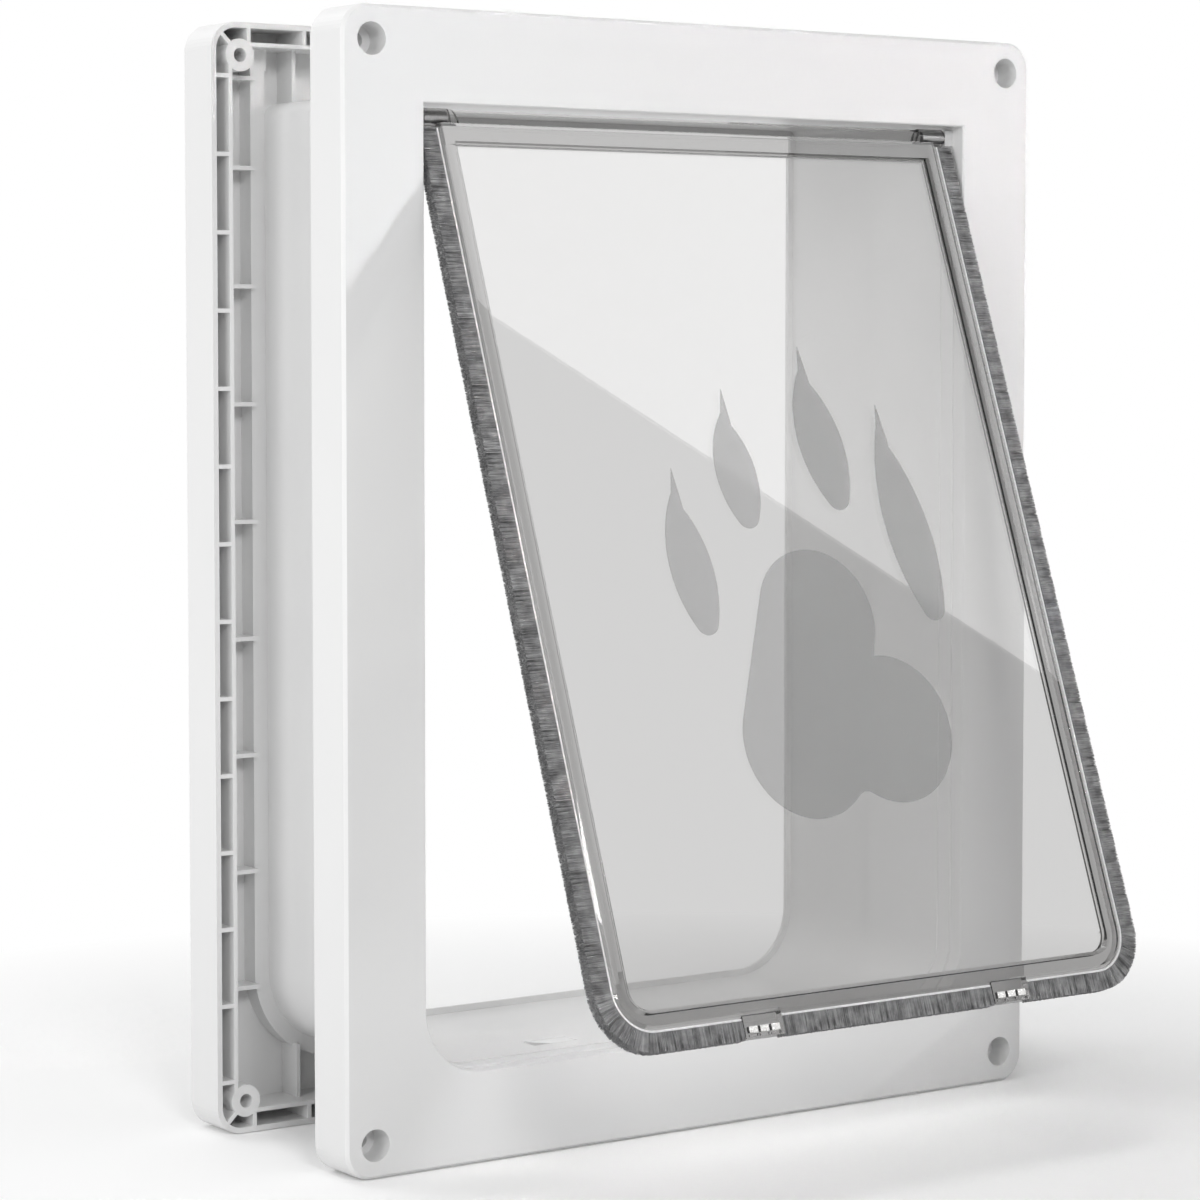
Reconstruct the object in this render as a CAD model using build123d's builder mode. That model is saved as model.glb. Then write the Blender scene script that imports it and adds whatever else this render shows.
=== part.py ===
from build123d import *
import os
from math import cos, radians, sin

# Dog door: two white moulded frames that clamp a door leaf between them, and a clear swinging
# flap with a pile seal. X is the viewer's right, Y runs through the door, Z is up. The origin is
# the centre of the front frame's screw pattern, on the plane where that frame meets the door.

# Frames
FRAME_W = 368.0
FRAME_H = 480.0
BORDER = 39.0
FRAME_R = 12.0
RIM_DEPTH = 25.0
WALL = 2.4
FACE = 2.5
EDGE_CUT = 1.4
MOUTH_CUT = 0.6
OPEN_LOW_R = 28.0
DOOR_GAP = 82.0

# Telescoping sleeves
SLEEVE_WALL = 2.5
SLEEVE_REACH = 42.0
SLEEVE_TOP_R = 2.5
SLEEVE_CUT = 0.8
SLIDE_GAP = 0.4
OUTER_WALL = 2.8
OVERLAP = 15.0
COLLAR_W = 7.0
COLLAR_DOWN = 13.0

# Ribs and screw bosses
LADDER_IN = 8.4
LADDER_T = 1.8
RIB_T = 1.8
RIB_END = 16.0
SIDE_PITCH = 33.4
TOP_PITCH = 27.6
GUSSET_END = 50.0
GUSSET_PITCH = 51.0
GUSSET_H = 13.0
TOP_WEB_PITCH = 55.2
LOW_WEB_PITCH = 25.1
CORNER_WEB_IN = 7.2
CORNER_WEB_L = 7.4
SCREW_INSET = 14.0
SCREW_R = 3.2
COUNTER_R = 6.75
COUNTER_DEPTH = 12.5
FRONT_BOSS_W = 17.2
REAR_BOSS_R = 7.0
REAR_HOLE_R = 3.0
REAR_HOLE_DEPTH = 20.0

# Seal land on the tunnel walls and sill, measured from the front face
LAND_START = 7.0
LAND_MID = 15.3
LAND_END = 24.0
LAND_LOW = 0.8
LAND_HIGH = 1.2
LAND_DROP = 28.0

# Flap and hinge
HINGE_DEPTH = 11.0
HINGE_DROP = 5.2
OPEN_ANGLE = 20.0
FLAP_L = 393.8
FLAP_SIDE_GAP = 1.6
PILE_W = 8.2
PILE_T = 6.5
BASE_W = 1.2
BASE_T = 5.0
FLAP_BORDER = 8.0
FLAP_BORDER_T = 7.0
PANE_T = 3.0
BORDER_BEVEL = 1.6
BARREL_R = 4.0
BARREL_L = 17.0
BARREL_GAP = 4.8
BARREL_CUT = 3.6
BARREL_SINK = 0.6
RAIL_T = 3.6
RAIL_TOP = 3.0
PILE_TOP = 5.5
PIN_R = 2.0
PIN_FIT = 0.05
PIN_GRIP = 12.0
BUSH_W = 7.0
BUSH_BOSS_W = 12.0
BUSH_BOSS_L = 4.5
BUSH_END_GAP = 0.3

# Magnets
MAGNET_X = 65.5
HOUSING_W = 19.6
HOUSING_SHORT = 1.0
NOTCH_W = 20.0
BLOCK_W = 4.2
BLOCK_H = 2.6
BLOCK_T = 2.7
BLOCK_PITCH = 5.6
BLOCK_PROUD = 0.2
BLOCK_RISE = 3.4
GROOVE_W = 4.8
GROOVE_H = 1.0
GROOVE_RISE = 1.1
GROOVE_DEPTH = 1.4
SILL_MAGNET_W = 20.0
SILL_MAGNET_D = 8.0
SILL_MAGNET_T = 4.0
POCKET_WALL = 1.8
CAP_T = 1.2

# Inset plate in the tunnel floor
INSET_X = 58.5
INSET_W = 23.0
INSET_D = 10.5
INSET_START = 31.0
INSET_CUT = 9.0

# Paw motif
PAW_T = 0.25
TOE_R = 6.0
CLAW_W = 3.4
CLAW_SINK = 8.0
CLAW_L = 11.0
CLAW_OUT = 1.0
CLAW_LEAN = 4.0
PAD_NOTCH_R = 6.0

# Toes on the pane: across, up, lean, half width and half length; lobes of the pad: across, up and radius
TOES = (
    (-52.0, -199.0, 5.0, 11.0, 33.5),
    (-18.4, -158.5, 4.0, 10.6, 27.5),
    (30.5, -146.0, 7.0, 12.0, 34.0),
    (68.3, -187.0, 7.0, 12.0, 48.0),
)
PAD_LOBES = ((8.0, -222.0, 30.0), (-12.0, -275.0, 32.5), (34.5, -272.0, 32.0))

# How far fused solids reach into each other, and how near an edge lies to the level it is picked by
BITE = 1.0
NEAR = 0.05

# Derived sizes
OPEN_W = FRAME_W - 2 * BORDER
OPEN_H = FRAME_H - 2 * BORDER
CAVITY = RIM_DEPTH - FACE
SCREW_W = FRAME_W - 2 * SCREW_INSET
SCREW_H = FRAME_H - 2 * SCREW_INSET
LADDER_OUT = LADDER_IN + LADDER_T
REAR_IN = SLEEVE_WALL + SLIDE_GAP
REAR_OUT = REAR_IN + OUTER_WALL
REAR_REACH = DOOR_GAP - SLEEVE_REACH + OVERLAP
COLLAR_OUT = REAR_OUT + COLLAR_W
COLLAR_TOP = FRAME_H / 2 - LADDER_OUT + BITE
SIDE_RIBS = int((FRAME_H - 2 * RIB_END) / SIDE_PITCH) + 1
TOP_RIBS = int((FRAME_W - 2 * RIB_END) / TOP_PITCH) + 1
GUSSETS = int((FRAME_H - 2 * GUSSET_END) / GUSSET_PITCH) + 1
TOP_WEBS = int(OPEN_W / TOP_WEB_PITCH) + 1
LOW_WEBS = int(OPEN_W / LOW_WEB_PITCH) + 1
END_GUSSET_Z = (SIDE_RIBS - 1) * SIDE_PITCH / 2
HINGE_Y = HINGE_DEPTH - RIM_DEPTH
HINGE_Z = OPEN_H / 2 - HINGE_DROP
FLAP_HALF = OPEN_W / 2 - FLAP_SIDE_GAP
RIGID_HALF = FLAP_HALF - PILE_W - BASE_W
RIGID_LOW = FLAP_L - PILE_W - BASE_W
RIGID_R = OPEN_LOW_R - FLAP_SIDE_GAP - PILE_W - BASE_W
BORDER_TOP = BARREL_R - BARREL_SINK
BARREL_END = OPEN_W / 2 - BARREL_GAP
BARREL_MID = BARREL_END - BARREL_L / 2
RAIL_HALF = BARREL_END - BARREL_L + BARREL_CUT
BUSH_START = BARREL_END + BUSH_END_GAP
BUSH_END = OPEN_W / 2 + BUSH_BOSS_L
HOUSING_LOW = FLAP_L - HOUSING_SHORT
BLOCK_Z = BLOCK_RISE - HOUSING_LOW
GROOVE_Z = GROOVE_RISE - HOUSING_LOW
LAND_TOP_Z = OPEN_H / 2 - LAND_DROP
SILL_Z = -OPEN_H / 2 - SLEEVE_WALL
INSET_NEAR = INSET_START - RIM_DEPTH
NOTCH_OUT = MAGNET_X + NOTCH_W / 2
NOTCH_IN = MAGNET_X - NOTCH_W / 2
SIDE_LEN = FLAP_HALF - NOTCH_OUT + BITE
ANGLE = radians(OPEN_ANGLE)

# Planes
front_door_side = Plane.XZ
front_face = Plane.XZ.offset(RIM_DEPTH)
front_gusset_top = Plane.XZ.offset(CAVITY - GUSSET_H)
front_land_end = Plane.XZ.offset(RIM_DEPTH - LAND_END)
rear_door_side = Plane(origin=(0, DOOR_GAP, 0), x_dir=(-1, 0, 0), z_dir=(0, 1, 0))
rear_gusset_top = rear_door_side.offset(CAVITY - GUSSET_H)
hinge_axis = Axis((0, HINGE_Y, HINGE_Z), (1, 0, 0))
flap_plane = Plane(
    origin=hinge_axis.position,
    x_dir=hinge_axis.direction,
    z_dir=(0, -cos(ANGLE), sin(ANGLE)),
)

os.makedirs("parts", exist_ok=True)


def both_sides(x, y, z=0):
    """The same place on the left and on the right of the middle plane."""
    return Locations((-x, y, z), (x, y, z))


def opening_outline(grow, top_r=0):
    """Opening grown on every side, with rounded lower corners and tighter upper ones."""
    with BuildSketch(mode=Mode.PRIVATE) as outline:
        Rectangle(OPEN_W + 2 * grow, OPEN_H + 2 * grow)
        fillet(outline.vertices().group_by(Axis.Y)[0], radius=OPEN_LOW_R + grow)
        if top_r:
            fillet(outline.vertices().group_by(Axis.Y)[-1], radius=top_r)
    return outline.sketch_local


def flap_outline(grow, top):
    """Flap moulding grown at its sides and foot, cut off level below the hinge axis."""
    with BuildSketch(mode=Mode.PRIVATE) as outline:
        with Locations((0, -(top + RIGID_LOW + grow) / 2)):
            Rectangle(2 * (RIGID_HALF + grow), RIGID_LOW + grow - top)
        fillet(outline.vertices().group_by(Axis.Y)[0], radius=RIGID_R + grow)
    return outline.sketch_local


def pane_outline():
    """Clear field inside the flap's raised border."""
    with BuildSketch(mode=Mode.PRIVATE) as outline:
        with Locations((0, -(BORDER_TOP + RIGID_LOW) / 2)):
            Rectangle(2 * (RIGID_HALF - FLAP_BORDER), RIGID_LOW - BORDER_TOP - 2 * FLAP_BORDER)
        fillet(outline.vertices().group_by(Axis.Y)[0], radius=RIGID_R - FLAP_BORDER)
    return outline.sketch_local


def at_depth(part, depth):
    """Edges of a part that lie on one level through the door."""
    return part.edges().filter_by_position(Axis.Y, depth - NEAR, depth + NEAR)


def mouth_edges(part, depth):
    """Edges around the opening on one level through the door."""
    edges = at_depth(part, depth).filter_by_position(Axis.X, -OPEN_W / 2 - NEAR, OPEN_W / 2 + NEAR)
    return edges.filter_by_position(Axis.Z, -OPEN_H / 2 - NEAR, OPEN_H / 2 + NEAR)


def gussets(outer, inner, count, pitch):
    """Level plates on both sides, from a wall inside the rim to the sleeve or its collar."""
    with GridLocations(FRAME_W - outer - BORDER + inner, pitch, 2, count):
        Rectangle(BORDER - inner - outer + BITE, RIB_T)


def cross_webs(outer, inner, count, pitch, side):
    """Upright plates from a wall inside the rim to the sleeve, above or below the opening."""
    with Locations((0, side * (FRAME_H - outer - BORDER + inner) / 2)):
        with GridLocations(pitch, 1, count, 1):
            Rectangle(RIB_T, BORDER - inner - outer + BITE)


def ladder():
    """Wall inside the rim, and the short ribs that tie it to the rim."""
    Rectangle(FRAME_W - 2 * LADDER_IN, FRAME_H - 2 * LADDER_IN)
    Rectangle(FRAME_W - 2 * LADDER_OUT, FRAME_H - 2 * LADDER_OUT, mode=Mode.SUBTRACT)
    with GridLocations(FRAME_W - WALL - LADDER_IN, SIDE_PITCH, 2, SIDE_RIBS):
        Rectangle(LADDER_IN - WALL + BITE, RIB_T)
    with GridLocations(TOP_PITCH, FRAME_H - WALL - LADDER_IN, TOP_RIBS, 2):
        Rectangle(RIB_T, LADDER_IN - WALL + BITE)


def corner_webs():
    """Slanting webs that tie the screw bosses to the rim's corners."""
    web_x = FRAME_W / 2 - CORNER_WEB_IN
    web_z = FRAME_H / 2 - CORNER_WEB_IN
    with Locations((web_x, web_z), (-web_x, -web_z)):
        Rectangle(CORNER_WEB_L, RIB_T, rotation=45)
    with Locations((-web_x, web_z), (web_x, -web_z)):
        Rectangle(CORNER_WEB_L, RIB_T, rotation=-45)


# Front frame: face and rim
with BuildPart() as front_frame:
    with BuildSketch(front_door_side):
        RectangleRounded(FRAME_W, FRAME_H, FRAME_R)
    extrude(amount=RIM_DEPTH)
    chamfer(at_depth(front_frame, -RIM_DEPTH), length=EDGE_CUT)
    with BuildSketch(front_door_side):
        RectangleRounded(FRAME_W - 2 * WALL, FRAME_H - 2 * WALL, FRAME_R - WALL)
    extrude(amount=CAVITY, mode=Mode.SUBTRACT)
    # Sleeve around the tunnel
    with BuildSketch(front_door_side):
        add(opening_outline(SLEEVE_WALL, SLEEVE_TOP_R))
    extrude(amount=CAVITY + FACE / 2)
    with BuildSketch(front_door_side):
        add(opening_outline(SLEEVE_WALL, SLEEVE_TOP_R))
    extrude(amount=-SLEEVE_REACH)
    # Bosses, and gussets from the rim to the sleeve
    with BuildSketch(front_door_side):
        with GridLocations(SCREW_W, SCREW_H, 2, 2):
            Rectangle(FRONT_BOSS_W, FRONT_BOSS_W)
        corner_webs()
    extrude(amount=CAVITY + FACE / 2)
    with BuildSketch(front_gusset_top):
        gussets(WALL, SLEEVE_WALL, GUSSETS, GUSSET_PITCH)
        cross_webs(WALL, SLEEVE_WALL, TOP_WEBS, TOP_WEB_PITCH, 1)
        cross_webs(WALL, SLEEVE_WALL, TOP_WEBS, TOP_WEB_PITCH, -1)
    extrude(amount=GUSSET_H + FACE / 2)
    # Blocks that back the hinge bushes, and pockets under the sill for the magnets
    with both_sides((OPEN_W / 2 + BUSH_END + BITE) / 2, HINGE_Y, HINGE_Z):
        Box(BUSH_END - OPEN_W / 2 + BITE, BUSH_BOSS_W, BUSH_BOSS_W)
    with BuildSketch(Plane.XY.offset(SILL_Z + SLEEVE_WALL / 2)):
        with both_sides(MAGNET_X, HINGE_Y):
            Rectangle(SILL_MAGNET_W + 2 * POCKET_WALL, SILL_MAGNET_D + 2 * POCKET_WALL)
    extrude(amount=-(SILL_MAGNET_T + CAP_T + SLEEVE_WALL / 2))
    with BuildSketch(Plane.XY.offset(SILL_Z)):
        with both_sides(MAGNET_X, HINGE_Y):
            Rectangle(SILL_MAGNET_W, SILL_MAGNET_D)
    extrude(amount=-(SILL_MAGNET_T + CAP_T), mode=Mode.SUBTRACT)
    # Tunnel through the frame
    with BuildSketch(front_door_side):
        add(opening_outline(0))
    extrude(amount=2 * RIM_DEPTH + SLEEVE_REACH, both=True, mode=Mode.SUBTRACT)
    chamfer(mouth_edges(front_frame, -RIM_DEPTH), length=MOUTH_CUT)
    # Raised land that the pile seal brushes, in two low steps
    for rise, start in ((LAND_LOW, LAND_START), (LAND_HIGH, LAND_MID)):
        with BuildSketch(front_land_end):
            add(opening_outline(SLEEVE_WALL / 8))
            add(opening_outline(-rise), mode=Mode.SUBTRACT)
            with Locations((0, LAND_TOP_Z - FRAME_H / 2)):
                Rectangle(FRAME_W, FRAME_H, mode=Mode.INTERSECT)
        extrude(amount=LAND_END - start)
    # Seats of the bushes, screw holes and the windows of the inset plates
    with both_sides(OPEN_W / 2, HINGE_Y, HINGE_Z):
        Box(4 * BUSH_BOSS_L, BUSH_W, BUSH_W, mode=Mode.SUBTRACT)
    with Locations(front_face):
        with GridLocations(SCREW_W, SCREW_H, 2, 2):
            CounterBoreHole(SCREW_R, COUNTER_R, COUNTER_DEPTH)
    with BuildSketch(Plane.XY.offset(-OPEN_H / 2 + SLEEVE_WALL)):
        with both_sides(INSET_X, INSET_NEAR + INSET_D / 2):
            Rectangle(INSET_W, INSET_D)
    extrude(amount=-3 * SLEEVE_WALL, mode=Mode.SUBTRACT)
front_frame.part.label = "front_frame"
export_step(front_frame.part, "parts/front_frame.step")

# Rear frame: open side towards the door, sleeve reaching forward around the front sleeve
with BuildPart() as rear_frame:
    with BuildSketch(rear_door_side):
        RectangleRounded(FRAME_W, FRAME_H, FRAME_R)
    extrude(amount=RIM_DEPTH)
    chamfer(at_depth(rear_frame, DOOR_GAP + RIM_DEPTH), length=EDGE_CUT)
    with BuildSketch(rear_door_side):
        RectangleRounded(FRAME_W - 2 * WALL, FRAME_H - 2 * WALL, FRAME_R - WALL)
    extrude(amount=CAVITY, mode=Mode.SUBTRACT)
    # Collar at the sides and foot of the sleeve, run up to the top wall, and the sleeve
    with BuildSketch(rear_door_side.offset(COLLAR_DOWN)):
        add(opening_outline(COLLAR_OUT, SLEEVE_TOP_R + COLLAR_OUT - SLEEVE_WALL))
        with both_sides((OPEN_W + REAR_OUT + COLLAR_OUT - BITE) / 2, COLLAR_TOP / 2):
            Rectangle(COLLAR_W + BITE, COLLAR_TOP)
        with Locations((0, OPEN_H / 2 + REAR_OUT + COLLAR_W)):
            Rectangle(OPEN_W + 2 * REAR_OUT, 2 * COLLAR_W, mode=Mode.SUBTRACT)
    extrude(amount=CAVITY - COLLAR_DOWN + FACE / 2)
    with BuildSketch(rear_door_side.offset(COLLAR_DOWN)):
        add(opening_outline(REAR_OUT, SLEEVE_TOP_R + REAR_OUT - SLEEVE_WALL))
    extrude(amount=-(COLLAR_DOWN + REAR_REACH))
    chamfer(at_depth(rear_frame, DOOR_GAP - REAR_REACH), length=SLEEVE_CUT)
    # Ladder wall, bosses, gussets to the collar and webs to the sleeve
    with BuildSketch(rear_door_side):
        ladder()
        with GridLocations(SCREW_W, SCREW_H, 2, 2):
            Circle(REAR_BOSS_R)
        corner_webs()
    extrude(amount=CAVITY + FACE / 2)
    with BuildSketch(rear_gusset_top):
        gussets(LADDER_OUT, COLLAR_OUT, GUSSETS, GUSSET_PITCH)
        with both_sides((FRAME_W - LADDER_OUT - BORDER + COLLAR_OUT) / 2, END_GUSSET_Z):
            Rectangle(BORDER - COLLAR_OUT - LADDER_OUT + BITE, RIB_T)
        cross_webs(LADDER_OUT, REAR_OUT, TOP_WEBS, TOP_WEB_PITCH, 1)
        cross_webs(LADDER_OUT, REAR_OUT, LOW_WEBS, LOW_WEB_PITCH, -1)
    extrude(amount=GUSSET_H + FACE / 2)
    # Bore of the sleeve, the opening in the outer face, and blind screw holes
    with BuildSketch(rear_door_side.offset(CAVITY)):
        add(opening_outline(REAR_IN, SLEEVE_TOP_R + SLIDE_GAP))
    extrude(amount=-2 * (CAVITY + REAR_REACH), mode=Mode.SUBTRACT)
    with BuildSketch(rear_door_side.offset(CAVITY)):
        add(opening_outline(0))
    extrude(amount=FACE, both=True, mode=Mode.SUBTRACT)
    chamfer(mouth_edges(rear_frame, DOOR_GAP + RIM_DEPTH), length=MOUTH_CUT)
    with BuildSketch(rear_door_side):
        with GridLocations(SCREW_W, SCREW_H, 2, 2):
            Circle(REAR_HOLE_R)
    extrude(amount=REAR_HOLE_DEPTH, mode=Mode.SUBTRACT)
rear_frame.part.label = "rear_frame"
export_step(rear_frame.part, "parts/rear_frame.step")

# Flap: one clear moulding with a raised border, hinge rail, end barrels and magnet housings
with BuildPart() as flap_panel:
    with BuildSketch(flap_plane):
        add(flap_outline(0, BORDER_TOP))
    extrude(amount=FLAP_BORDER_T / 2, both=True)
    for side in (-1, 1):
        with BuildSketch(flap_plane.offset(side * FLAP_BORDER_T / 2)):
            add(pane_outline())
        extrude(amount=-side * (FLAP_BORDER_T - PANE_T) / 2, mode=Mode.SUBTRACT)
    rims = flap_panel.edges().filter_by(
        lambda e: abs(abs(flap_plane.to_local_coords(e.center()).Z) - FLAP_BORDER_T / 2) < NEAR
        and abs(e.center().X) < RIGID_HALF - FLAP_BORDER / 2
        and -RIGID_LOW + FLAP_BORDER / 2 < flap_plane.to_local_coords(e.center()).Y
        and flap_plane.to_local_coords(e.center()).Y < -BORDER_TOP - 2 * FLAP_BORDER
    )
    chamfer(rims, length=BORDER_BEVEL)
    # Barrels with a sloped inner shoulder, the rail between them, and blind holes for the pins
    with both_sides(BARREL_MID, HINGE_Y, HINGE_Z):
        Cylinder(BARREL_R, BARREL_L, rotation=(0, 90, 0))
    with BuildSketch(flap_plane):
        for side in (-1, 1):
            with BuildLine():
                Polyline(
                    (side * (BARREL_END - BARREL_L), -BORDER_TOP),
                    (side * (BARREL_END - BARREL_L), BARREL_R),
                    (side * (BARREL_END - BARREL_L + BARREL_CUT), BARREL_R),
                    close=True,
                )
            make_face()
    extrude(amount=BARREL_R, both=True, mode=Mode.SUBTRACT)
    with BuildSketch(flap_plane):
        with Locations((0, (RAIL_TOP - BORDER_TOP - BITE) / 2)):
            Rectangle(2 * RAIL_HALF, RAIL_TOP + BORDER_TOP + BITE)
    extrude(amount=RAIL_T / 2, both=True)
    with both_sides(BARREL_END - PIN_GRIP / 2, HINGE_Y, HINGE_Z):
        Cylinder(PIN_R, PIN_GRIP, rotation=(0, 90, 0), mode=Mode.SUBTRACT)
    # Magnet housings in the gaps of the seal, with pockets for the blocks and grooves below them
    with BuildSketch(flap_plane):
        with both_sides(MAGNET_X, -(RIGID_LOW + HOUSING_LOW - BITE) / 2):
            Rectangle(HOUSING_W, HOUSING_LOW - RIGID_LOW + BITE)
    extrude(amount=PILE_T / 2, both=True)
    with BuildSketch(flap_plane.offset(PILE_T / 2)):
        with both_sides(MAGNET_X, BLOCK_Z):
            with GridLocations(BLOCK_PITCH, 1, 3, 1):
                Rectangle(BLOCK_W, BLOCK_H)
    extrude(amount=-(BLOCK_T - BLOCK_PROUD), mode=Mode.SUBTRACT)
    with BuildSketch(flap_plane.offset(PILE_T / 2)):
        with both_sides(MAGNET_X, GROOVE_Z):
            with GridLocations(BLOCK_PITCH, 1, 3, 1):
                Rectangle(GROOVE_W, GROOVE_H)
    extrude(amount=-GROOVE_DEPTH, mode=Mode.SUBTRACT)
flap_panel.part.label = "flap_panel"
export_step(flap_panel.part, "parts/flap_panel.step")

# Hinge pins, held in the barrels and turning in square bushes let into the tunnel walls
with BuildPart() as hinge_pin_left:
    with Locations((-(BARREL_END - PIN_GRIP + BUSH_END) / 2, HINGE_Y, HINGE_Z)):
        Cylinder(PIN_R, BUSH_END - BARREL_END + PIN_GRIP, rotation=(0, 90, 0))
hinge_pin_left.part.label = "hinge_pin_left"
export_step(hinge_pin_left.part, "parts/hinge_pin_left.step")

with BuildPart() as hinge_pin_right:
    mirror(hinge_pin_left.part, about=Plane.YZ)
hinge_pin_right.part.label = "hinge_pin_right"
export_step(hinge_pin_right.part, "parts/hinge_pin_right.step")

with BuildPart() as hinge_bush_left:
    with Locations((-(BUSH_START + BUSH_END) / 2, HINGE_Y, HINGE_Z)):
        Box(BUSH_END - BUSH_START, BUSH_W, BUSH_W)
        Cylinder(PIN_R + PIN_FIT, BUSH_END - BUSH_START, rotation=(0, 90, 0), mode=Mode.SUBTRACT)
hinge_bush_left.part.label = "hinge_bush_left"
export_step(hinge_bush_left.part, "parts/hinge_bush_left.step")

with BuildPart() as hinge_bush_right:
    mirror(hinge_bush_left.part, about=Plane.YZ)
hinge_bush_right.part.label = "hinge_bush_right"
export_step(hinge_bush_right.part, "parts/hinge_bush_right.step")

# Pile seal: a white base strip and a soft pile in three lengths, with gaps at the housings
with BuildPart() as seal_base_left:
    with BuildSketch(flap_plane):
        add(flap_outline(BASE_W, PILE_TOP))
        add(flap_outline(0, BORDER_TOP), mode=Mode.SUBTRACT)
        with Locations((-NOTCH_OUT - SIDE_LEN / 2, -FLAP_L / 2)):
            Rectangle(SIDE_LEN, FLAP_L, mode=Mode.INTERSECT)
    extrude(amount=BASE_T / 2, both=True)
seal_base_left.part.label = "seal_base_left"
export_step(seal_base_left.part, "parts/seal_base_left.step")

with BuildPart() as seal_base_right:
    mirror(seal_base_left.part, about=Plane.YZ)
seal_base_right.part.label = "seal_base_right"
export_step(seal_base_right.part, "parts/seal_base_right.step")

with BuildPart() as seal_base_middle:
    with BuildSketch(flap_plane):
        with Locations((0, -RIGID_LOW - BASE_W / 2)):
            Rectangle(2 * NOTCH_IN, BASE_W)
    extrude(amount=BASE_T / 2, both=True)
seal_base_middle.part.label = "seal_base_middle"
export_step(seal_base_middle.part, "parts/seal_base_middle.step")

with BuildPart() as pile_left:
    with BuildSketch(flap_plane):
        add(flap_outline(BASE_W + PILE_W, PILE_TOP))
        add(flap_outline(BASE_W, BORDER_TOP), mode=Mode.SUBTRACT)
        with Locations((-NOTCH_OUT - SIDE_LEN / 2, -FLAP_L / 2)):
            Rectangle(SIDE_LEN, FLAP_L, mode=Mode.INTERSECT)
    extrude(amount=PILE_T / 2, both=True)
pile_left.part.label = "pile_left"
export_step(pile_left.part, "parts/pile_left.step")

with BuildPart() as pile_right:
    mirror(pile_left.part, about=Plane.YZ)
pile_right.part.label = "pile_right"
export_step(pile_right.part, "parts/pile_right.step")

with BuildPart() as pile_middle:
    with BuildSketch(flap_plane):
        with Locations((0, -RIGID_LOW - BASE_W - PILE_W / 2)):
            Rectangle(2 * NOTCH_IN, PILE_W)
    extrude(amount=PILE_T / 2, both=True)
pile_middle.part.label = "pile_middle"
export_step(pile_middle.part, "parts/pile_middle.step")

# Small block magnets in the flap's foot, three in each housing
with BuildPart() as flap_magnets_left:
    with BuildSketch(flap_plane.offset(PILE_T / 2 + BLOCK_PROUD)):
        with Locations((-MAGNET_X, BLOCK_Z)):
            with GridLocations(BLOCK_PITCH, 1, 3, 1):
                Rectangle(BLOCK_W, BLOCK_H)
    extrude(amount=-BLOCK_T)
flap_magnets_left.part.label = "flap_magnets_left"
export_step(flap_magnets_left.part, "parts/flap_magnets_left.step")

with BuildPart() as flap_magnets_right:
    mirror(flap_magnets_left.part, about=Plane.YZ)
flap_magnets_right.part.label = "flap_magnets_right"
export_step(flap_magnets_right.part, "parts/flap_magnets_right.step")

# Bar magnets under the sill, below the flap's foot, each with a cap in its pocket
with BuildPart() as sill_magnet_left:
    with BuildSketch(Plane.XY.offset(SILL_Z)):
        with Locations((-MAGNET_X, HINGE_Y)):
            Rectangle(SILL_MAGNET_W, SILL_MAGNET_D)
    extrude(amount=-SILL_MAGNET_T)
sill_magnet_left.part.label = "sill_magnet_left"
export_step(sill_magnet_left.part, "parts/sill_magnet_left.step")

with BuildPart() as sill_magnet_right:
    mirror(sill_magnet_left.part, about=Plane.YZ)
sill_magnet_right.part.label = "sill_magnet_right"
export_step(sill_magnet_right.part, "parts/sill_magnet_right.step")

with BuildPart() as magnet_cap_left:
    with BuildSketch(Plane.XY.offset(SILL_Z - SILL_MAGNET_T)):
        with Locations((-MAGNET_X, HINGE_Y)):
            Rectangle(SILL_MAGNET_W, SILL_MAGNET_D)
    extrude(amount=-CAP_T)
magnet_cap_left.part.label = "magnet_cap_left"
export_step(magnet_cap_left.part, "parts/magnet_cap_left.step")

with BuildPart() as magnet_cap_right:
    mirror(magnet_cap_left.part, about=Plane.YZ)
magnet_cap_right.part.label = "magnet_cap_right"
export_step(magnet_cap_right.part, "parts/magnet_cap_right.step")

# Plates let into the tunnel floor behind the flap, each with one corner cut away
with BuildPart() as inset_plate_left:
    with BuildSketch(Plane.XY.offset(-OPEN_H / 2)):
        with BuildLine():
            Polyline(
                (-INSET_X - INSET_W / 2 + INSET_CUT, INSET_NEAR),
                (-INSET_X + INSET_W / 2, INSET_NEAR),
                (-INSET_X + INSET_W / 2, INSET_NEAR + INSET_D),
                (-INSET_X - INSET_W / 2, INSET_NEAR + INSET_D),
                close=True,
            )
        make_face()
    extrude(amount=-SLEEVE_WALL)
inset_plate_left.part.label = "inset_plate_left"
export_step(inset_plate_left.part, "parts/inset_plate_left.step")

with BuildPart() as inset_plate_right:
    mirror(inset_plate_left.part, about=Plane.YZ)
inset_plate_right.part.label = "inset_plate_right"
export_step(inset_plate_right.part, "parts/inset_plate_right.step")

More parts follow.
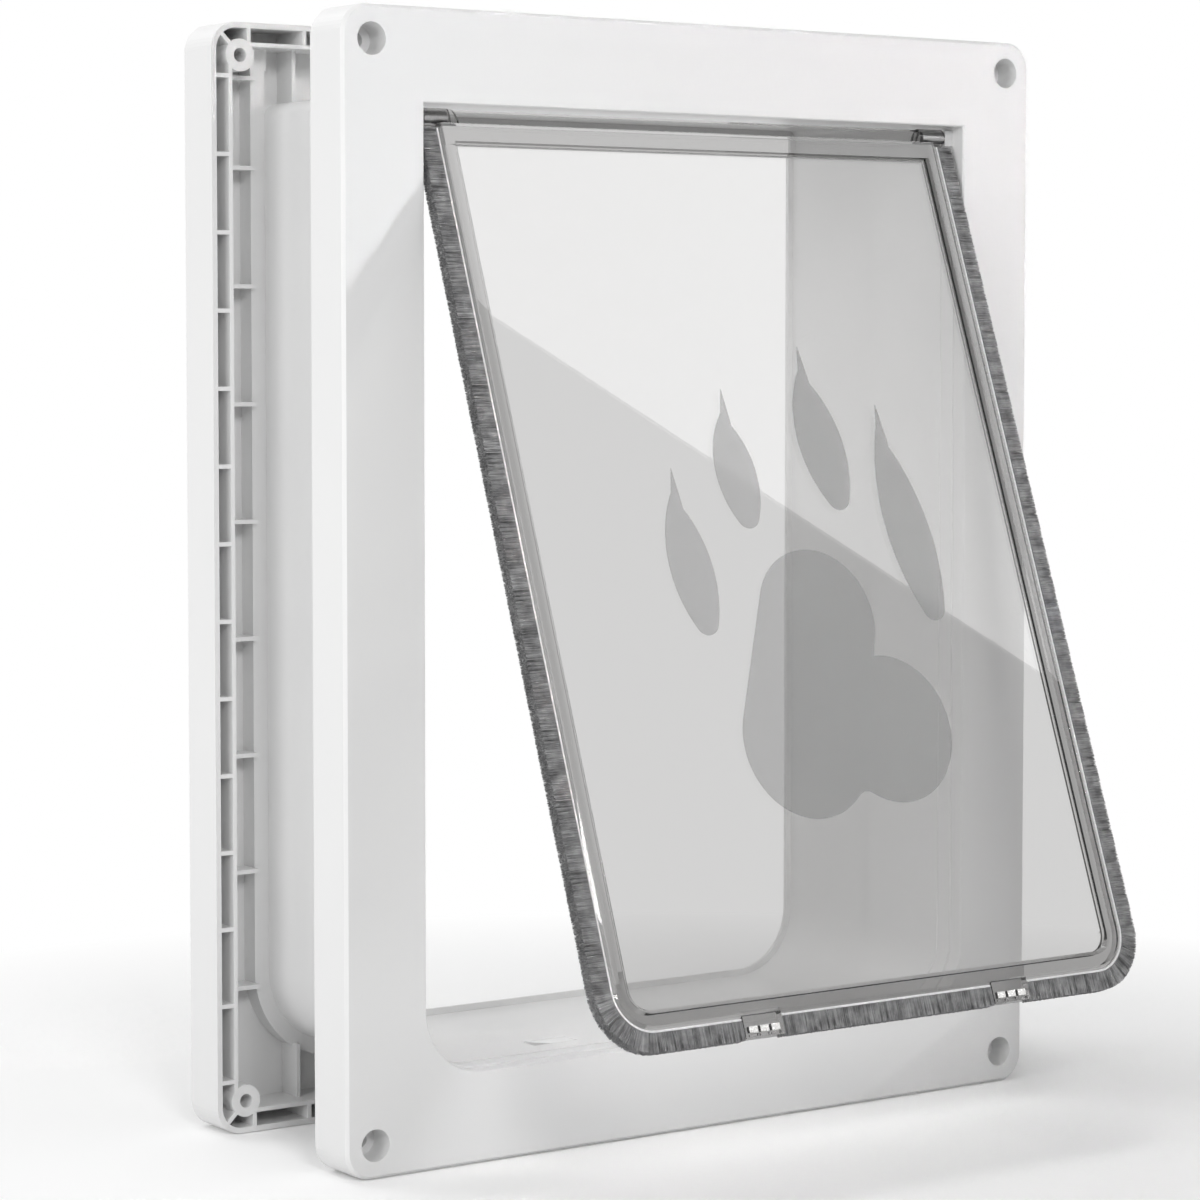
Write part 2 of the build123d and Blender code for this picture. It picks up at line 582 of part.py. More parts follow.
# Paw motif on the clear pane: four almond-shaped toes with claws, and a lobed pad
with BuildPart() as paw_print:
    with BuildSketch(flap_plane.offset(PANE_T / 2)):
        for toe_x, toe_z, lean, half_w, half_l in TOES:
            with BuildSketch(mode=Mode.PRIVATE) as toe:
                with BuildLine():
                    ThreePointArc((0, -half_l), (-half_w, 0), (0, half_l))
                    ThreePointArc((0, half_l), (half_w, 0), (0, -half_l))
                make_face()
                fillet(toe.vertices().sort_by(Axis.Y)[0], radius=TOE_R)
                with BuildLine():
                    Polyline(
                        (CLAW_OUT - CLAW_W, half_l - CLAW_SINK),
                        (CLAW_OUT + CLAW_W, half_l - CLAW_SINK),
                        (CLAW_LEAN, half_l + CLAW_L),
                        close=True,
                    )
                make_face()
            with Locations(Location((toe_x, toe_z, 0), (0, 0, lean))):
                add(toe.sketch_local)
        with BuildSketch(mode=Mode.PRIVATE) as pad:
            for pad_x, pad_z, radius in PAD_LOBES[:2]:
                with Locations((pad_x, pad_z)):
                    Circle(radius)
            make_hull(pad.edges())
            with Locations(PAD_LOBES[2][:2]):
                Circle(PAD_LOBES[2][2])
            fillet(pad.vertices().sort_by(Axis.Y)[0], radius=PAD_NOTCH_R)
        add(pad.sketch_local)
    extrude(amount=PAW_T)
paw_print.part.label = "paw_print"
export_step(paw_print.part, "parts/paw_print.step")
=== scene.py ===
import bpy
from math import cos, pi, radians, sin
from mathutils import Matrix, Vector


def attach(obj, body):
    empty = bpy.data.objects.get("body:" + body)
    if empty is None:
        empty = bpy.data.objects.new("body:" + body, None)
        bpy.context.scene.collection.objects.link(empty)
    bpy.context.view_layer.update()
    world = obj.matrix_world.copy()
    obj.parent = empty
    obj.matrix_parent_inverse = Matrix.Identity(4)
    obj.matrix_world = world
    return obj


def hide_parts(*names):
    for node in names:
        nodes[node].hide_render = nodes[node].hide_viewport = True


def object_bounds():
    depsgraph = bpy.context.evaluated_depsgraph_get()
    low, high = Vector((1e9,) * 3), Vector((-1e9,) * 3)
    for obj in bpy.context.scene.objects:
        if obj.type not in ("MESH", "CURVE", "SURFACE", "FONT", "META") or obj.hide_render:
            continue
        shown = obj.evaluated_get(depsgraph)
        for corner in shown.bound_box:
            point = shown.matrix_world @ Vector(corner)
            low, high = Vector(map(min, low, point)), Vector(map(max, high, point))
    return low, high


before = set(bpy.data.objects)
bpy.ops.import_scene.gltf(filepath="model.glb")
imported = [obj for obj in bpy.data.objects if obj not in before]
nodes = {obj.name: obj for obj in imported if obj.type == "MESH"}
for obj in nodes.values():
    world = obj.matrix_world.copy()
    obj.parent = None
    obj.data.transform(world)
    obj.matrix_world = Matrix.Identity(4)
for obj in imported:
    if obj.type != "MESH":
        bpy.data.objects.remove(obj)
cad_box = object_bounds()
MM = 0.001
NEAR = 0.001 * MM

# Softened edges of the mouldings
CORNER_MERGE = 0.004 * MM
FRAME_EDGE = 0.3 * MM
FLAP_EDGE = 0.2 * MM
EDGE_SEGMENTS = 2
EDGE_ANGLE = radians(30)
ROUND_ANGLE = radians(40)
FACE_WEIGHT = 80

# Flap: its hinge axis, how far it hangs open, and the way out of the pane
HINGE = Vector((0.0, -14.0, 195.8)) * MM
OPEN_ANGLE = radians(20.0)
PANE_OUT = Vector((0, -cos(OPEN_ANGLE), sin(OPEN_ANGLE)))
PAW_LIFT = 0.04 * MM
# Takes what is drawn flat, across the pane, up it and out of it, to its place on the open flap
FLAP_TURN = Matrix.Translation(HINGE) @ Matrix.Rotation(pi / 2 - OPEN_ANGLE, 4, "X")

# Seal: the line where base and pile meet, from the hinge axis, with its breaks at the magnet housings
SEAL_SIDE = 135.2 * MM
SEAL_FOOT = 385.6 * MM
SEAL_TOP = 5.5 * MM
SEAL_R = 18.2 * MM
BREAK_OUT = 75.5 * MM
BREAK_IN = 55.5 * MM
PATH_STEPS = 24
# Handle length of a quarter round, as a share of its radius
QUARTER_ROUND = 0.5523

# Pile: rows of fibres round a dense core, on a length that repeats
PILE_H = 8.2 * MM
PILE_T = 6.5 * MM
PILE_CELL = 28.0 * MM
PILE_SMOOTH = radians(60)
FIBRE_PITCH = 0.35 * MM
FIBRE_ROWS = 13
FIBRE_SIDES = 3
FIBRE_ROOT_R = 0.27 * MM
FIBRE_TIP_R = 0.1 * MM
FIBRE_H = PILE_H - 0.5 * MM
ROWS_T = PILE_T - 0.7 * MM
TIP_START = 7.0 * MM
TIP_STRAY = 0.4 * MM
STRAY_SEED = 8
CORE_H = 6.2 * MM
CORE_T = PILE_T - 1.8 * MM
CORE_ROUND = 1.0 * MM
CORE_PARTS = 12

# Base of the seal: a row of beads, each pinched at its ends
BEAD_L = 1.0 * MM
BEAD_W = 1.2 * MM
BEAD_T = 6.9 * MM
BEAD_PINCH = (1, 0.72, 0.78)
BEAD_MERGE = 0.01 * MM
BEAD_SMOOTH = radians(50)

# Floor: it lies just under the frames, and fades to white away from them
FLOOR_SIDES = 96
FLOOR_R = 1.6
FLOOR_BACK = 0.05
FLOOR_DROP = 0.4 * MM
FLOOR_LIFT = 0.09
FLOOR_FADE_START = 0.3
FLOOR_FADE_END = 0.62

# White surroundings: how much light they give, and how bright they look
SURROUND_LIGHT = 0.18
SURROUND_SEEN = 1.0

# Camera
CAMERA_AT = (-0.94162, -1.27527, 0.1058)
CAMERA_TILT = radians(90 - 3.4139)
CAMERA_TURN = radians(-35.2758)
LENS = 108.33
SENSOR = 36.0
LENS_SHIFT = -0.04
NEAREST = 0.05


# Finishes

def grey(level):
    """A neutral colour."""
    return (level, level, level)


def new_finish(name, **sockets):
    """A material whose plain values sit on the shader's own sockets."""
    mat = bpy.data.materials.new(name)
    mat.use_nodes = True
    shader = mat.node_tree.nodes["Principled BSDF"]
    for socket, value in sockets.items():
        shader.inputs[socket.replace("_", " ")].default_value = value
    return mat, mat.node_tree, shader


def noise_on_piece(tree, scale, detail=2.0, stretch=(1, 1, 1)):
    """Noise that is fixed to the piece, drawn out along an axis where stretch is small."""
    coords = tree.nodes.new("ShaderNodeTexCoord")
    mapping = tree.nodes.new("ShaderNodeMapping")
    mapping.inputs["Scale"].default_value = stretch
    noise = tree.nodes.new("ShaderNodeTexNoise")
    noise.inputs["Scale"].default_value = scale
    noise.inputs["Detail"].default_value = detail
    tree.links.new(coords.outputs["Object"], mapping.inputs["Vector"])
    tree.links.new(mapping.outputs["Vector"], noise.inputs["Vector"])
    return noise.outputs["Fac"]


def tint(tree, shader, source, low, high, start=0.3, end=0.7):
    """Base colour between two tones, spread over a source."""
    node = tree.nodes.new("ShaderNodeValToRGB")
    node.color_ramp.elements[0].position = start
    node.color_ramp.elements[1].position = end
    node.color_ramp.elements[0].color = (*low, 1)
    node.color_ramp.elements[1].color = (*high, 1)
    tree.links.new(source, node.inputs["Fac"])
    tree.links.new(node.outputs["Color"], shader.inputs["Base Color"])


def polish(tree, shader, source, smooth, rough, start=0.3, end=0.7):
    """Roughness between two values, spread over a source."""
    node = tree.nodes.new("ShaderNodeMapRange")
    node.inputs["From Min"].default_value = start
    node.inputs["From Max"].default_value = end
    node.inputs["To Min"].default_value = smooth
    node.inputs["To Max"].default_value = rough
    tree.links.new(source, node.inputs["Value"])
    tree.links.new(node.outputs["Result"], shader.inputs["Roughness"])


def relief(tree, shader, source, strength, depth):
    """Fine surface texture."""
    node = tree.nodes.new("ShaderNodeBump")
    node.inputs["Strength"].default_value = strength
    node.inputs["Distance"].default_value = depth
    tree.links.new(source, node.inputs["Height"])
    tree.links.new(node.outputs["Normal"], shader.inputs["Normal"])


def moulded_white():
    """White plastic of the frames, with a soft sheen."""
    mat, tree, shader = new_finish("moulded_white", IOR=1.5)
    tint(tree, shader, noise_on_piece(tree, 14.0), low=grey(0.805), high=(0.82, 0.82, 0.818))
    polish(tree, shader, noise_on_piece(tree, 30.0), smooth=0.29, rough=0.33)
    return mat


def smoky_clear():
    """Clear sheet with a little smoke in it, which dims the lamps that shine through."""
    mat, tree, shader = new_finish(
        "smoky_clear", IOR=1.49, Roughness=0.0, Transmission_Weight=1.0, Base_Color=(*grey(1), 1)
    )
    relief(tree, shader, noise_on_piece(tree, 9.0, detail=0.0), strength=0.1, depth=0.2 * MM)
    smoke = tree.nodes.new("ShaderNodeVolumeAbsorption")
    smoke.inputs["Color"].default_value = (0.508, 0.502, 0.497, 1)
    smoke.inputs["Density"].default_value = 270.0
    path = tree.nodes.new("ShaderNodeLightPath")
    through = tree.nodes.new("ShaderNodeBsdfTransparent")
    through.inputs["Color"].default_value = (*grey(0.78), 1)
    mix = tree.nodes.new("ShaderNodeMixShader")
    output = tree.nodes["Material Output"]
    tree.links.new(path.outputs["Is Shadow Ray"], mix.inputs["Fac"])
    tree.links.new(shader.outputs["BSDF"], mix.inputs[1])
    tree.links.new(through.outputs["BSDF"], mix.inputs[2])
    tree.links.new(mix.outputs["Shader"], output.inputs["Surface"])
    tree.links.new(smoke.outputs["Volume"], output.inputs["Volume"])
    return mat


def grey_pile():
    """Brushed fibres: each has its own tone, on top of darker and lighter clumps."""
    mat, tree, shader = new_finish("grey_pile", Roughness=0.85, Sheen_Weight=0.25, Sheen_Roughness=0.5)
    fibre = tree.nodes.new("ShaderNodeNewGeometry").outputs["Random Per Island"]
    clumps = noise_on_piece(tree, 220.0, detail=3.0)
    mix = tree.nodes.new("ShaderNodeMath")
    mix.operation = "MULTIPLY_ADD"
    mix.inputs[1].default_value = 0.3
    tree.links.new(fibre, mix.inputs[0])
    tree.links.new(clumps, mix.inputs[2])
    tint(
        tree, shader, mix.outputs["Value"],
        low=(0.13, 0.13, 0.132), high=(0.42, 0.42, 0.424), start=0.35, end=0.95,
    )
    return mat


def woven_base():
    """Pale thread of the seal's base."""
    mat, tree, shader = new_finish("woven_base", Roughness=0.6)
    tint(tree, shader, noise_on_piece(tree, 900.0), low=grey(0.8), high=grey(0.93))
    return mat


def satin_steel():
    """Turned steel of the hinge pins."""
    mat, tree, shader = new_finish("satin_steel", Metallic=1.0)
    tint(tree, shader, noise_on_piece(tree, 300.0), low=(0.5, 0.5, 0.505), high=grey(0.62))
    turned = noise_on_piece(tree, 2500.0, stretch=(8, 1, 1))
    polish(tree, shader, turned, smooth=0.22, rough=0.38)
    return mat


def bush_plastic():
    """Grey plastic of the hinge bushes."""
    mat, tree, shader = new_finish("bush_plastic")
    tint(tree, shader, noise_on_piece(tree, 260.0), low=grey(0.62), high=grey(0.72))
    polish(tree, shader, noise_on_piece(tree, 500.0), smooth=0.25, rough=0.4)
    return mat


def nickel_plate():
    """Bright plating of the flap's magnets."""
    mat, tree, shader = new_finish("nickel_plate", Metallic=1.0)
    tint(
        tree, shader, noise_on_piece(tree, 500.0),
        low=(0.66, 0.655, 0.64), high=(0.78, 0.775, 0.765),
    )
    polish(tree, shader, noise_on_piece(tree, 1500.0), smooth=0.18, rough=0.34)
    return mat


def sintered_ferrite():
    """Dark grainy magnets under the sill."""
    mat, tree, shader = new_finish("sintered_ferrite")
    grain = noise_on_piece(tree, 1800.0, detail=4.0)
    tint(tree, shader, grain, low=(0.03, 0.03, 0.032), high=grey(0.08))
    polish(tree, shader, grain, smooth=0.5, rough=0.75)
    relief(tree, shader, grain, strength=0.2, depth=0.1 * MM)
    return mat


def inset_white():
    """Glossy white of the plates let into the sill."""
    mat, tree, shader = new_finish("inset_white")
    tint(tree, shader, noise_on_piece(tree, 60.0), low=grey(0.86), high=grey(0.9))
    polish(tree, shader, noise_on_piece(tree, 200.0), smooth=0.06, rough=0.1)
    return mat


def printed_grey():
    """Thin grey ink of the paw, with the pane showing through it."""
    mat, tree, shader = new_finish("printed_grey", Alpha=0.27)
    tint(tree, shader, noise_on_piece(tree, 500.0, detail=4.0), low=grey(0.16), high=grey(0.2))
    polish(tree, shader, noise_on_piece(tree, 900.0), smooth=0.3, rough=0.45)
    return mat


white = moulded_white()
clear = smoky_clear()
pile_grey = grey_pile()
base_weave = woven_base()
steel = satin_steel()
bush_grey = bush_plastic()
nickel = nickel_plate()
ferrite = sintered_ferrite()
inset = inset_white()
paw_grey = printed_grey()


# Working on a piece

def start_clean():
    """Nothing selected before a new piece is added."""
    bpy.ops.object.select_all(action="DESELECT")


def pick(piece):
    """Only this piece selected and active."""
    start_clean()
    piece.select_set(True)
    bpy.context.view_layer.objects.active = piece


def edit(piece):
    """The piece in edit mode, with nothing selected."""
    pick(piece)
    bpy.ops.object.mode_set(mode="EDIT")
    bpy.ops.mesh.select_all(action="DESELECT")


def choose(piece, kind, test):
    """Vertices or edges of the edited piece picked by place."""
    bpy.ops.object.mode_set(mode="OBJECT")
    for item in getattr(piece.data, kind):
        item.select = test(item)
    bpy.ops.object.mode_set(mode="EDIT")
    bpy.ops.mesh.select_mode(type={"vertices": "VERT", "edges": "EDGE"}[kind])


def join_corners(piece, threshold):
    """Corners that lie together made one."""
    edit(piece)
    bpy.ops.mesh.select_all(action="SELECT")
    bpy.ops.mesh.remove_doubles(threshold=threshold)
    bpy.ops.object.mode_set(mode="OBJECT")


def use_modifier(piece, kind, **values):
    """One modifier added and applied."""
    pick(piece)
    mod = piece.modifiers.new(kind.lower(), kind)
    for name, value in values.items():
        setattr(mod, name, value)
    bpy.ops.object.modifier_apply(modifier=mod.name)


def repeat(piece, count, step):
    """The piece in a row of copies, one step apart."""
    use_modifier(
        piece, "ARRAY", count=count, use_relative_offset=False, use_constant_offset=True,
        constant_offset_displace=step,
    )


def copy_of(piece, name):
    """A copy with a mesh of its own."""
    twin = piece.copy()
    twin.data = piece.data.copy()
    twin.name = name
    bpy.context.scene.collection.objects.link(twin)
    return twin


def dress(piece, body, slot, mat, *stands_for):
    """Finish and body of a new piece; its slot is not used."""
    piece.data.materials.clear()
    piece.data.materials.append(mat)
    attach(piece, body)
    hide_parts(*stands_for)


def merged_copy(node, name):
    """A copy of a solid with its corners joined."""
    start_clean()
    piece = bpy.data.objects.new(name, nodes[node].data.copy())
    bpy.context.scene.collection.objects.link(piece)
    join_corners(piece, CORNER_MERGE)
    return piece


def soften(piece, width):
    """Moulded edges instead of knife-sharp ones, with the flat faces kept flat."""
    pick(piece)
    bpy.ops.object.shade_smooth_by_angle(angle=EDGE_ANGLE)
    use_modifier(
        piece, "BEVEL", width=width, segments=EDGE_SEGMENTS, limit_method="ANGLE",
        angle_limit=EDGE_ANGLE, use_clamp_overlap=True, miter_outer="MITER_ARC",
    )
    pick(piece)
    bpy.ops.object.shade_smooth_by_angle(angle=ROUND_ANGLE)
    use_modifier(piece, "WEIGHTED_NORMAL", keep_sharp=True, weight=FACE_WEIGHT)


# Frames and flap: the solids with softened edges

front = merged_copy("front_frame", "front_moulding")
soften(front, FRAME_EDGE)
dress(front, "front", "white_plastic", white, "front_frame")
rear = merged_copy("rear_frame", "rear_moulding")
soften(rear, FRAME_EDGE)
dress(rear, "rear", "white_plastic", white, "rear_frame")
flap = merged_copy("flap_panel", "flap_moulding")
soften(flap, FLAP_EDGE)
dress(flap, "flap", "clear_plastic", clear, "flap_panel")


# Pile seal: a strip of standing fibres on a beaded base, laid along the flap's edge

def strip_path(name, ends):
    """Path along the flap's side and foot; ends are the places where straight runs start and stop."""
    start_clean()
    bpy.ops.curve.primitive_bezier_curve_add()
    path = bpy.context.object
    path.name = name
    spline = path.data.splines[0]
    spline.bezier_points.add(len(ends) - 2)
    path.data.dimensions = "2D"
    path.data.resolution_u = PATH_STEPS
    for point, place in zip(spline.bezier_points, ends):
        point.co = (*place, 0)
        point.handle_left_type = "VECTOR"
        point.handle_right_type = "VECTOR"
    return path


def round_corner(path, first, way_in, way_out):
    """A quarter round between two points of the path, from one direction to the other."""
    points = path.data.splines[0].bezier_points
    for point, way in ((points[first], way_in), (points[first + 1], way_out)):
        reach = Vector((*way, 0)) * QUARTER_ROUND * SEAL_R
        point.handle_left_type = "FREE"
        point.handle_right_type = "FREE"
        point.handle_left = point.co - reach
        point.handle_right = point.co + reach


def seal_paths():
    """Paths of the left, middle and right strips round the flap, and their lengths."""
    bend = SEAL_FOOT - SEAL_R
    turn = SEAL_SIDE - SEAL_R
    left = strip_path("path_left", (
        (-SEAL_SIDE, -SEAL_TOP), (-SEAL_SIDE, -bend), (-turn, -SEAL_FOOT), (-BREAK_OUT, -SEAL_FOOT),
    ))
    round_corner(left, 1, (0, -1), (1, 0))
    middle = strip_path("path_middle", ((-BREAK_IN, -SEAL_FOOT), (BREAK_IN, -SEAL_FOOT)))
    right = strip_path("path_right", (
        (BREAK_OUT, -SEAL_FOOT), (turn, -SEAL_FOOT), (SEAL_SIDE, -bend), (SEAL_SIDE, -SEAL_TOP),
    ))
    round_corner(right, 1, (1, 0), (0, 1))
    long = (bend - SEAL_TOP) + SEAL_R * pi / 2 + (turn - BREAK_OUT)
    return (("left", left, long), ("middle", middle, 2 * BREAK_IN), ("right", right, long))


def lay_along(piece, path, cell, length):
    """The piece repeated along a path, then set on the flap."""
    count = round(length / cell)
    step = length / count
    pick(piece)
    piece.scale = (step / cell, 1, 1)
    bpy.ops.object.transform_apply(location=False, rotation=False, scale=True)
    repeat(piece, count, (step, 0, 0))
    use_modifier(piece, "CURVE", object=path, deform_axis="POS_X")
    piece.data.transform(FLAP_TURN)


def pile_fibres():
    """Rows of tapered fibres whose tips stray a little each way."""
    start_clean()
    along = round(PILE_CELL / FIBRE_PITCH)
    step = PILE_CELL / along
    bpy.ops.mesh.primitive_cone_add(
        vertices=FIBRE_SIDES, radius1=FIBRE_ROOT_R, radius2=FIBRE_TIP_R, depth=FIBRE_H,
        location=(step / 2, -FIBRE_H / 2, -ROWS_T / 2), rotation=(pi / 2, 0, 0),
    )
    fibres = bpy.context.object
    fibres.name = "pile_cell"
    bpy.ops.object.transform_apply(location=True, rotation=True, scale=True)
    repeat(fibres, FIBRE_ROWS, (0, 0, ROWS_T / (FIBRE_ROWS - 1)))
    repeat(fibres, along, (step, 0, 0))
    edit(fibres)
    choose(fibres, "vertices", lambda vertex: vertex.co.y < -TIP_START)
    bpy.ops.transform.vertex_random(offset=TIP_STRAY, uniform=0.0, normal=0.0, seed=STRAY_SEED)
    bpy.ops.object.mode_set(mode="OBJECT")
    return fibres


def pile_core():
    """A bar with a rounded top that fills the pile, cut across so that it can follow the bend."""
    start_clean()
    bpy.ops.mesh.primitive_cube_add(size=1, location=(PILE_CELL / 2, -CORE_H / 2, 0))
    core = bpy.context.object
    core.scale = (PILE_CELL, CORE_H, CORE_T)
    bpy.ops.object.transform_apply(location=True, rotation=True, scale=True)

    def long_top_edge(edge):
        start, end = (core.data.vertices[index].co for index in edge.vertices)
        on_top = abs(start.y + CORE_H) < NEAR and abs(end.y + CORE_H) < NEAR
        return on_top and abs(start.z - end.z) < NEAR

    edit(core)
    choose(core, "edges", long_top_edge)
    bpy.ops.mesh.bevel(offset=CORE_ROUND, segments=EDGE_SEGMENTS)
    for part in range(1, CORE_PARTS):
        bpy.ops.mesh.select_all(action="SELECT")
        bpy.ops.mesh.bisect(plane_co=(PILE_CELL * part / CORE_PARTS, 0, 0), plane_no=(1, 0, 0))
    bpy.ops.object.mode_set(mode="OBJECT")
    return core


def pile_cell():
    """A length of pile: fibres and core in one mesh."""
    fibres = pile_fibres()
    core = pile_core()
    fibres.select_set(True)
    core.select_set(True)
    bpy.context.view_layer.objects.active = fibres
    bpy.ops.object.join()
    return fibres


def base_cell():
    """One bead of the base: full in the middle, and pinched where it meets its neighbours."""
    start_clean()
    middle = (BEAD_L / 2, BEAD_W / 2, 0)
    bpy.ops.mesh.primitive_cube_add(size=1, location=middle)
    bead = bpy.context.object
    bead.name = "base_cell"
    bead.scale = (BEAD_L, BEAD_W, BEAD_T)
    bpy.ops.object.transform_apply(location=True, rotation=True, scale=True)
    edit(bead)
    bpy.ops.mesh.select_all(action="SELECT")
    bpy.ops.mesh.bisect(plane_co=middle, plane_no=(1, 0, 0))
    choose(bead, "vertices", lambda vertex: abs(vertex.co.x - BEAD_L / 2) > NEAR)
    bpy.ops.transform.resize(value=BEAD_PINCH, center_override=middle)
    bpy.ops.object.mode_set(mode="OBJECT")
    return bead


pile = pile_cell()
for place, path, length in seal_paths():
    strip = copy_of(pile, "pile_strip_" + place)
    lay_along(strip, path, PILE_CELL, length)
    pick(strip)
    bpy.ops.object.shade_smooth_by_angle(angle=PILE_SMOOTH)
    dress(strip, "flap", "pile", pile_grey, "pile_" + place)
    bpy.data.objects.remove(path)
bpy.data.objects.remove(pile)

bead = base_cell()
for place, path, length in seal_paths():
    strip = copy_of(bead, "base_strip_" + place)
    lay_along(strip, path, BEAD_L, length)
    join_corners(strip, BEAD_MERGE)
    bpy.ops.object.shade_smooth_by_angle(angle=BEAD_SMOOTH)
    dress(strip, "flap", "seal_base", base_weave, "seal_base_" + place)
    bpy.data.objects.remove(path)
bpy.data.objects.remove(bead)


# Paw print: the thin inlay of the solids, a hair proud so that it lies on the pane

paw = merged_copy("paw_print", "paw_inlay")
paw.data.transform(Matrix.Translation(PANE_OUT * PAW_LIFT))
dress(paw, "flap", "paw_ink", paw_grey, "paw_print")


# Finishes of the solids that stay as they are

for name, mat in (
    ("hinge_pin", steel), ("hinge_bush", bush_grey), ("flap_magnets", nickel),
    ("sill_magnet", ferrite), ("magnet_cap", white), ("inset_plate", inset),
):
    for side in ("_left", "_right"):
        solid = nodes[name + side]
        solid.data.materials.clear()
        solid.data.materials.append(mat)


# Studio: pale floor, soft lamps, white surroundings

def seen_directly(tree):
    """1 for camera, mirror and see-through rays, 0 for light that reaches a surface."""
    path = tree.nodes.new("ShaderNodeLightPath")
    total = path.outputs["Is Camera Ray"]
    for ray in ("Is Glossy Ray", "Is Transmission Ray"):
        add = tree.nodes.new("ShaderNodeMath")
        add.operation = "ADD"
        add.use_clamp = True
        tree.links.new(total, add.inputs[0])
        tree.links.new(path.outputs[ray], add.inputs[1])
        total = add.outputs["Value"]
    return total


def floor_white():
    """Matt white that looks a little brighter than the light it sends on, and fades to plain white."""
    mat, tree, shader = new_finish("floor_white", Roughness=0.9, Specular_IOR_Level=0.0)
    seen = seen_directly(tree)
    tint(tree, shader, seen, low=grey(0.8), high=grey(0.97), start=0.0, end=1.0)
    lift = tree.nodes.new("ShaderNodeMath")
    lift.operation = "MULTIPLY"
    lift.inputs[1].default_value = FLOOR_LIFT
    glow = tree.nodes.new("ShaderNodeEmission")
    lifted = tree.nodes.new("ShaderNodeAddShader")
    tree.links.new(seen, lift.inputs[0])
    tree.links.new(lift.outputs["Value"], glow.inputs["Strength"])
    tree.links.new(shader.outputs["BSDF"], lifted.inputs[0])
    tree.links.new(glow.outputs["Emission"], lifted.inputs[1])
    coords = tree.nodes.new("ShaderNodeTexCoord")
    reach = tree.nodes.new("ShaderNodeVectorMath")
    reach.operation = "LENGTH"
    fade = tree.nodes.new("ShaderNodeMapRange")
    fade.inputs["From Min"].default_value = FLOOR_FADE_START
    fade.inputs["From Max"].default_value = FLOOR_FADE_END
    away = tree.nodes.new("ShaderNodeEmission")
    away.inputs["Strength"].default_value = 1.0
    mix = tree.nodes.new("ShaderNodeMixShader")
    tree.links.new(coords.outputs["Object"], reach.inputs[0])
    tree.links.new(reach.outputs["Value"], fade.inputs["Value"])
    tree.links.new(fade.outputs["Result"], mix.inputs["Fac"])
    tree.links.new(lifted.outputs["Shader"], mix.inputs[1])
    tree.links.new(away.outputs["Emission"], mix.inputs[2])
    tree.links.new(mix.outputs["Shader"], tree.nodes["Material Output"].inputs["Surface"])
    return mat


def studio_floor():
    """A wide disc under the frames."""
    start_clean()
    bpy.ops.mesh.primitive_circle_add(
        vertices=FLOOR_SIDES, radius=FLOOR_R, fill_type="NGON",
        location=(0, FLOOR_BACK, cad_box[0][2] - FLOOR_DROP),
    )
    floor = bpy.context.object
    floor.name = "floor"
    bpy.ops.object.transform_apply(location=True, rotation=True, scale=True)
    floor.data.materials.append(floor_white())


def studio_world():
    """White all round, which looks bright and lights the object only a little."""
    world = bpy.data.worlds.new("studio")
    bpy.context.scene.world = world
    world.use_nodes = True
    tree = world.node_tree
    background = tree.nodes["Background"]
    background.inputs["Color"].default_value = (*grey(1), 1)
    level = tree.nodes.new("ShaderNodeMapRange")
    level.inputs["To Min"].default_value = SURROUND_LIGHT
    level.inputs["To Max"].default_value = SURROUND_SEEN
    tree.links.new(seen_directly(tree), level.inputs["Value"])
    tree.links.new(level.outputs["Result"], background.inputs["Strength"])


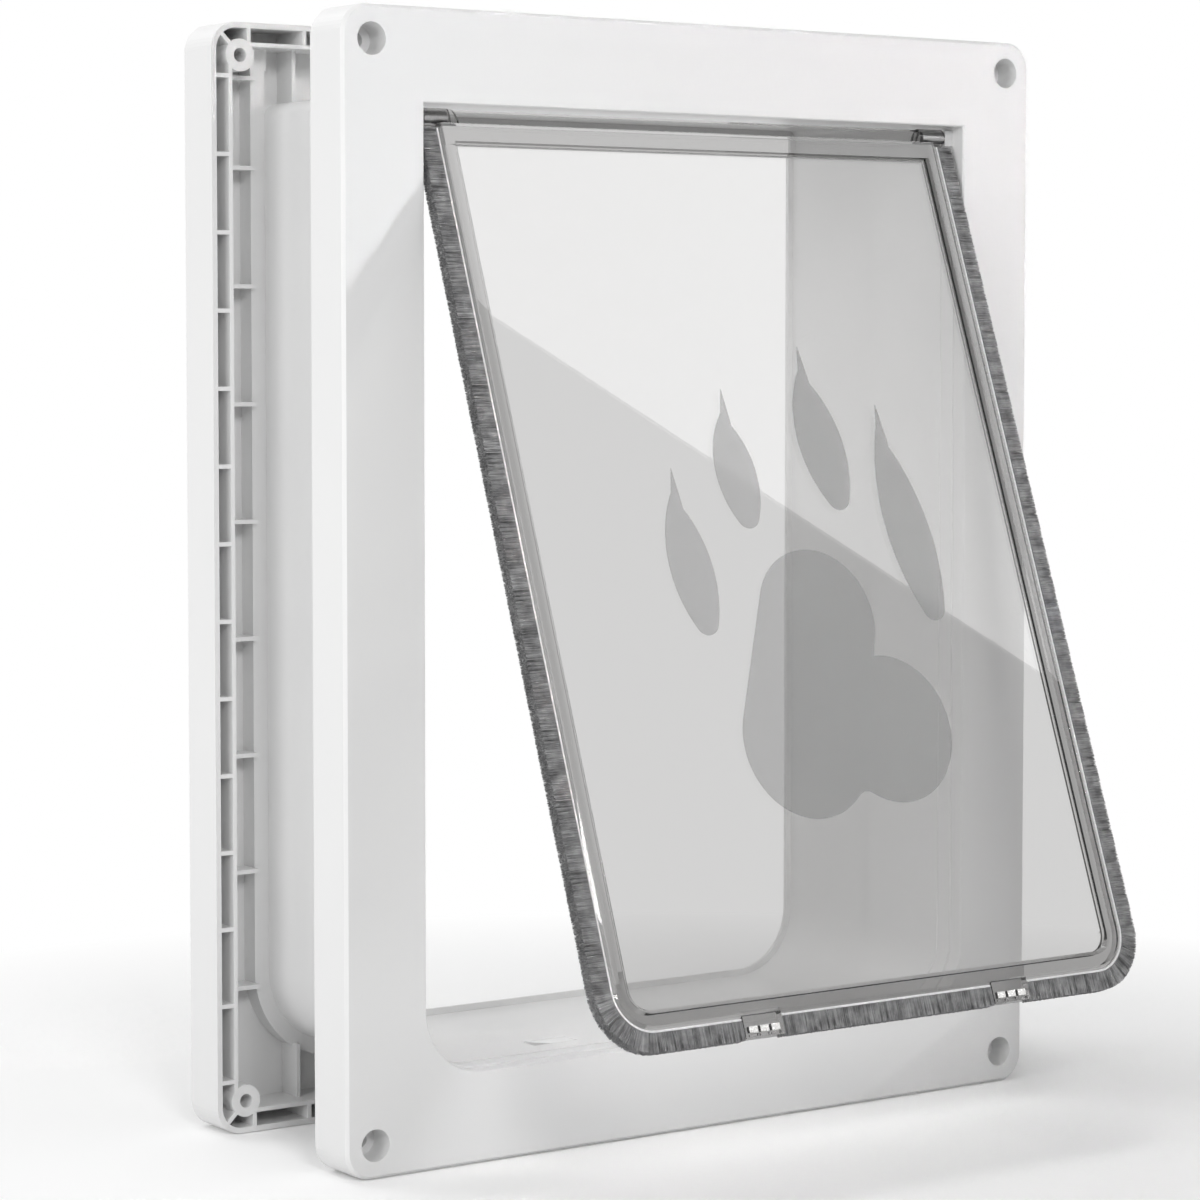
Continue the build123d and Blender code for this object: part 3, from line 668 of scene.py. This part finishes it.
def softbox(name, centre, along, away, size, power):
    """A soft lamp in metres and watts: its first side lies along one direction, and its back faces away."""
    lamp = bpy.data.lights.new(name, "AREA")
    lamp.shape = "RECTANGLE"
    lamp.size, lamp.size_y = size
    lamp.energy = power
    holder = bpy.data.objects.new(name, lamp)
    bpy.context.scene.collection.objects.link(holder)
    z = Vector(away).normalized()
    x = (Vector(along) - Vector(along).dot(z) * z).normalized()
    y = z.cross(x)
    turn = Matrix((x, y, z)).transposed().to_4x4()
    holder.matrix_world = Matrix.Translation(Vector(centre)) @ turn
    return holder


studio_floor()
studio_world()

# Seen only as the slanting bright field in the pane
pane_light = softbox(
    "pane_light", centre=(0.714, -0.540, 0.593), along=(0.637, 0.069, -0.767),
    away=(0.6185, -0.6397, 0.4563), size=(0.8, 0.42), power=3.2,
)
pane_light.visible_diffuse = False
# Small and far off, so that the flap's shadow on the frame has a crisp edge
key_light = softbox(
    "key_light", centre=(3.93, -1.525, 1.07), along=(0.3, 1.0, 0),
    away=(4.18, -1.5, 1.0), size=(0.2, 0.2), power=0.76,
)
key_light.data.spread = radians(14)
# Shades the ribs, and leaves no glint on the flap's border
fill_light = softbox(
    "fill_light", centre=(-1.0, -2.4, 1.2), along=(0.8, -0.3, 0),
    away=(-1.0, -2.4, 1.2), size=(0.6, 0.6), power=24.0,
)
fill_light.visible_glossy = False
softbox(
    "left_light", centre=(-2.2, -0.5, 0.7), along=(0.2, -1.0, 0),
    away=(-2.2, -0.5, 0.5), size=(1.8, 1.8), power=26.0,
)
softbox(
    "back_light", centre=(-0.9, 1.3, 1.9), along=(1, 0.6, 0),
    away=(-0.8, 1.2, 2.0), size=(1.2, 1.2), power=12.0,
)
softbox(
    "top_light", centre=(-0.1, 0.25, 2.1), along=(1, 0, 0),
    away=(-0.1, 0.2, 2.1), size=(0.9, 0.9), power=10.0,
)

lens = bpy.data.cameras.new("camera")
lens.lens = LENS
lens.sensor_width = SENSOR
lens.shift_y = LENS_SHIFT
lens.clip_start = NEAREST
camera = bpy.data.objects.new("camera", lens)
bpy.context.scene.collection.objects.link(camera)
camera.location = CAMERA_AT
camera.rotation_euler = (CAMERA_TILT, 0, CAMERA_TURN)
bpy.context.scene.camera = camera
bpy.context.scene.view_settings.view_transform = "Standard"

bpy.context.view_layer.update()
